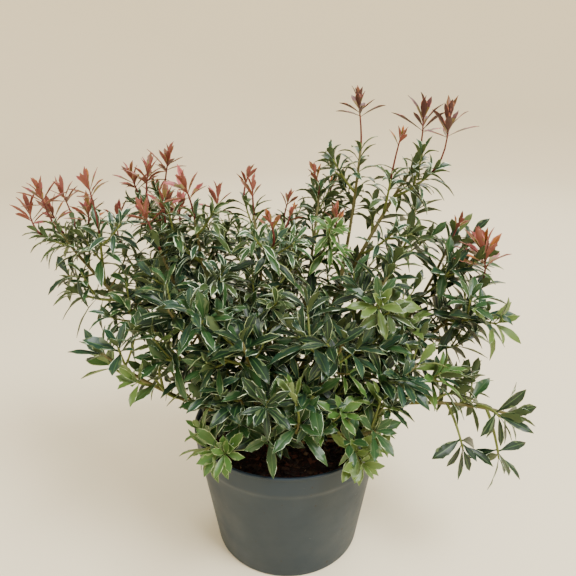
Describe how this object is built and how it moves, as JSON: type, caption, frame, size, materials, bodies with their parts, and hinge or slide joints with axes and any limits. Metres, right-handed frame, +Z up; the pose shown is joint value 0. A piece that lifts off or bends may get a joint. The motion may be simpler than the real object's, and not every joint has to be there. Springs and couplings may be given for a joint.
{
  "type": "pieris shrub",
  "caption": "Variegated pieris shrub with whorled cream-edged leaves and red new shoots, standing in a round plastic nursery pot of compost.",
  "frame": {"origin": "centre of the pot's flat underside", "axes": "+Z up; X to the right and Y to the back as the shrub is usually stood, with its tallest shoots at the back right"},
  "size_m": [0.5815, 0.3517, 0.555],
  "materials": {
    "pot_plastic": "matt olive grey moulded plastic, lightly scuffed",
    "compost": "coarse dark brown compost; wood stands in for it",
    "bark": "smooth olive brown young bark",
    "foliage": "leathery green leaves with cream edges, red when new; fabric stands in for them"
  },
  "bodies": {
    "root": {"bough_back_centre": "bark", "bough_back_left": "bark", "bough_back_low_left": "bark", "bough_back_low_right": "bark", "bough_back_right": "bark", "bough_centre_back": "bark", "bough_centre_top": "bark", "bough_front_centre": "bark", "bough_front_left": "bark", "bough_front_left_low": "bark", "bough_front_left_mid": "bark", "bough_front_right": "bark", "bough_front_right_mid": "bark", "bough_left_back": "bark", "bough_left_crown": "bark", "bough_left_front": "bark", "bough_left_inner": "bark", "bough_left_low": "bark", "bough_left_pink": "bark", "bough_left_rear_low": "bark", "bough_right_centre": "bark", "bough_right_low": "bark", "bough_right_mid": "bark", "bough_right_rear_low": "bark", "bough_right_red": "bark", "bough_right_tall": "bark", "bough_right_top": "bark", "bough_right_upper": "bark", "compost": "compost", "foliage_back_centre": "foliage", "foliage_back_left": "foliage", "foliage_back_low_left": "foliage", "foliage_back_low_right": "foliage", "foliage_back_right": "foliage", "foliage_centre_back": "foliage", "foliage_centre_top": "foliage", "foliage_front_centre": "foliage", "foliage_front_left": "foliage", "foliage_front_left_low": "foliage", "foliage_front_left_mid": "foliage", "foliage_front_right": "foliage", "foliage_front_right_mid": "foliage", "foliage_left_back": "foliage", "foliage_left_crown": "foliage", "foliage_left_front": "foliage", "foliage_left_inner": "foliage", "foliage_left_low": "foliage", "foliage_left_pink": "foliage", "foliage_left_rear_low": "foliage", "foliage_right_centre": "foliage", "foliage_right_low": "foliage", "foliage_right_mid": "foliage", "foliage_right_rear_low": "foliage", "foliage_right_red": "foliage", "foliage_right_tall": "foliage", "foliage_right_top": "foliage", "foliage_right_upper": "foliage", "pot": "pot_plastic", "trunk": "bark"}
  },
  "joints": []
}
